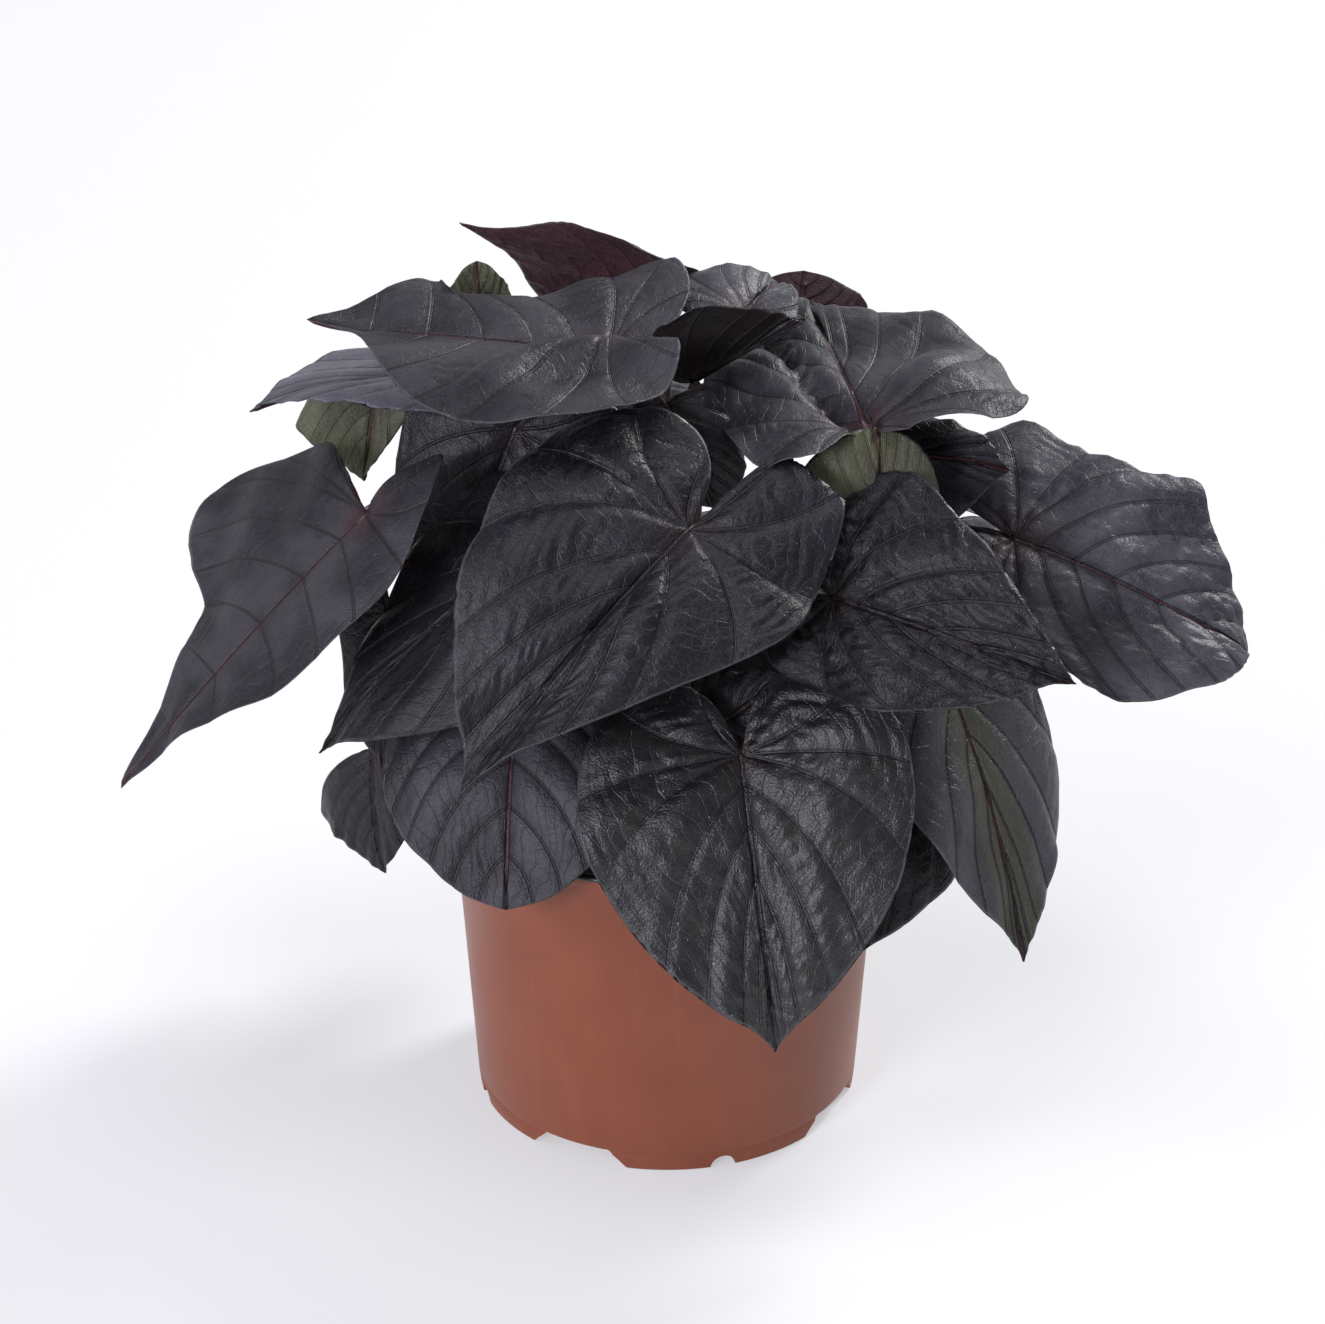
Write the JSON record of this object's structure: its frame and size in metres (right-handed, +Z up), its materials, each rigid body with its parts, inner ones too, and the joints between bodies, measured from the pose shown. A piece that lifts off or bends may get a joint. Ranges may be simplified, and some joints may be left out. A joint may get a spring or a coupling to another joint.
{
  "type": "potted sweet potato vine",
  "caption": "Bushy sweet potato vine with dark purple, nearly black heart-shaped leaves on thin stalks, in a round terracotta-coloured plastic nursery pot filled with potting soil.",
  "frame": {"origin": "on the floor, under the middle of the whole plant's width and depth; the pot's axis stands at x -5 mm, y -22.4 mm", "axes": "+Z up, parallel to the pot's axis, -Y towards the viewer's side of the plant, +X to that viewer's right"},
  "size_m": [0.3266, 0.2356, 0.2622],
  "materials": {
    "terracotta": "terracotta-coloured plastic with a soft sheen, black on the inside",
    "soil": "dark crumbly peat",
    "stem": "smooth purple-green stem",
    "leaf": "dark purple, nearly black, satin leaf with sunken veins",
    "young_leaf": "olive young leaf with red veins"
  },
  "bodies": {
    "root": {"pot": "terracotta", "soil": "soil", "stem_centre": "stem", "stem_left": "stem", "stem_right": "stem", "stem_front": "stem", "stem_back": "stem", "leaf_crown_left": "leaf", "leaf_crown_back_up": "leaf", "leaf_crown_right": "leaf", "leaf_crown_down": "leaf", "leaf_crown_mid": "leaf", "leaf_crown_back": "leaf", "leaf_right_top": "leaf", "leaf_young_left": "young_leaf", "leaf_young_back": "young_leaf", "leaf_young_right": "young_leaf", "leaf_young_mid": "young_leaf", "leaf_left_back": "leaf", "leaf_left_big": "leaf", "leaf_left_shade": "leaf", "leaf_left_inner": "leaf", "leaf_left_low": "leaf", "leaf_left_low_back": "leaf", "leaf_left_under": "leaf", "leaf_front_mid": "leaf", "leaf_front_right": "leaf", "leaf_front_low": "leaf", "leaf_front_small": "leaf", "leaf_inner_front": "leaf", "leaf_inner_back": "leaf", "leaf_right_big": "leaf", "leaf_right_low": "leaf", "leaf_right_shade": "leaf", "leaf_back_left_top": "leaf", "leaf_back_top": "leaf", "leaf_back_right_top": "leaf", "leaf_back_left": "leaf", "leaf_back_right": "leaf", "leaf_back_mid": "leaf", "leaf_back_low_left": "leaf", "leaf_back_low_right": "leaf"}
  },
  "joints": []
}
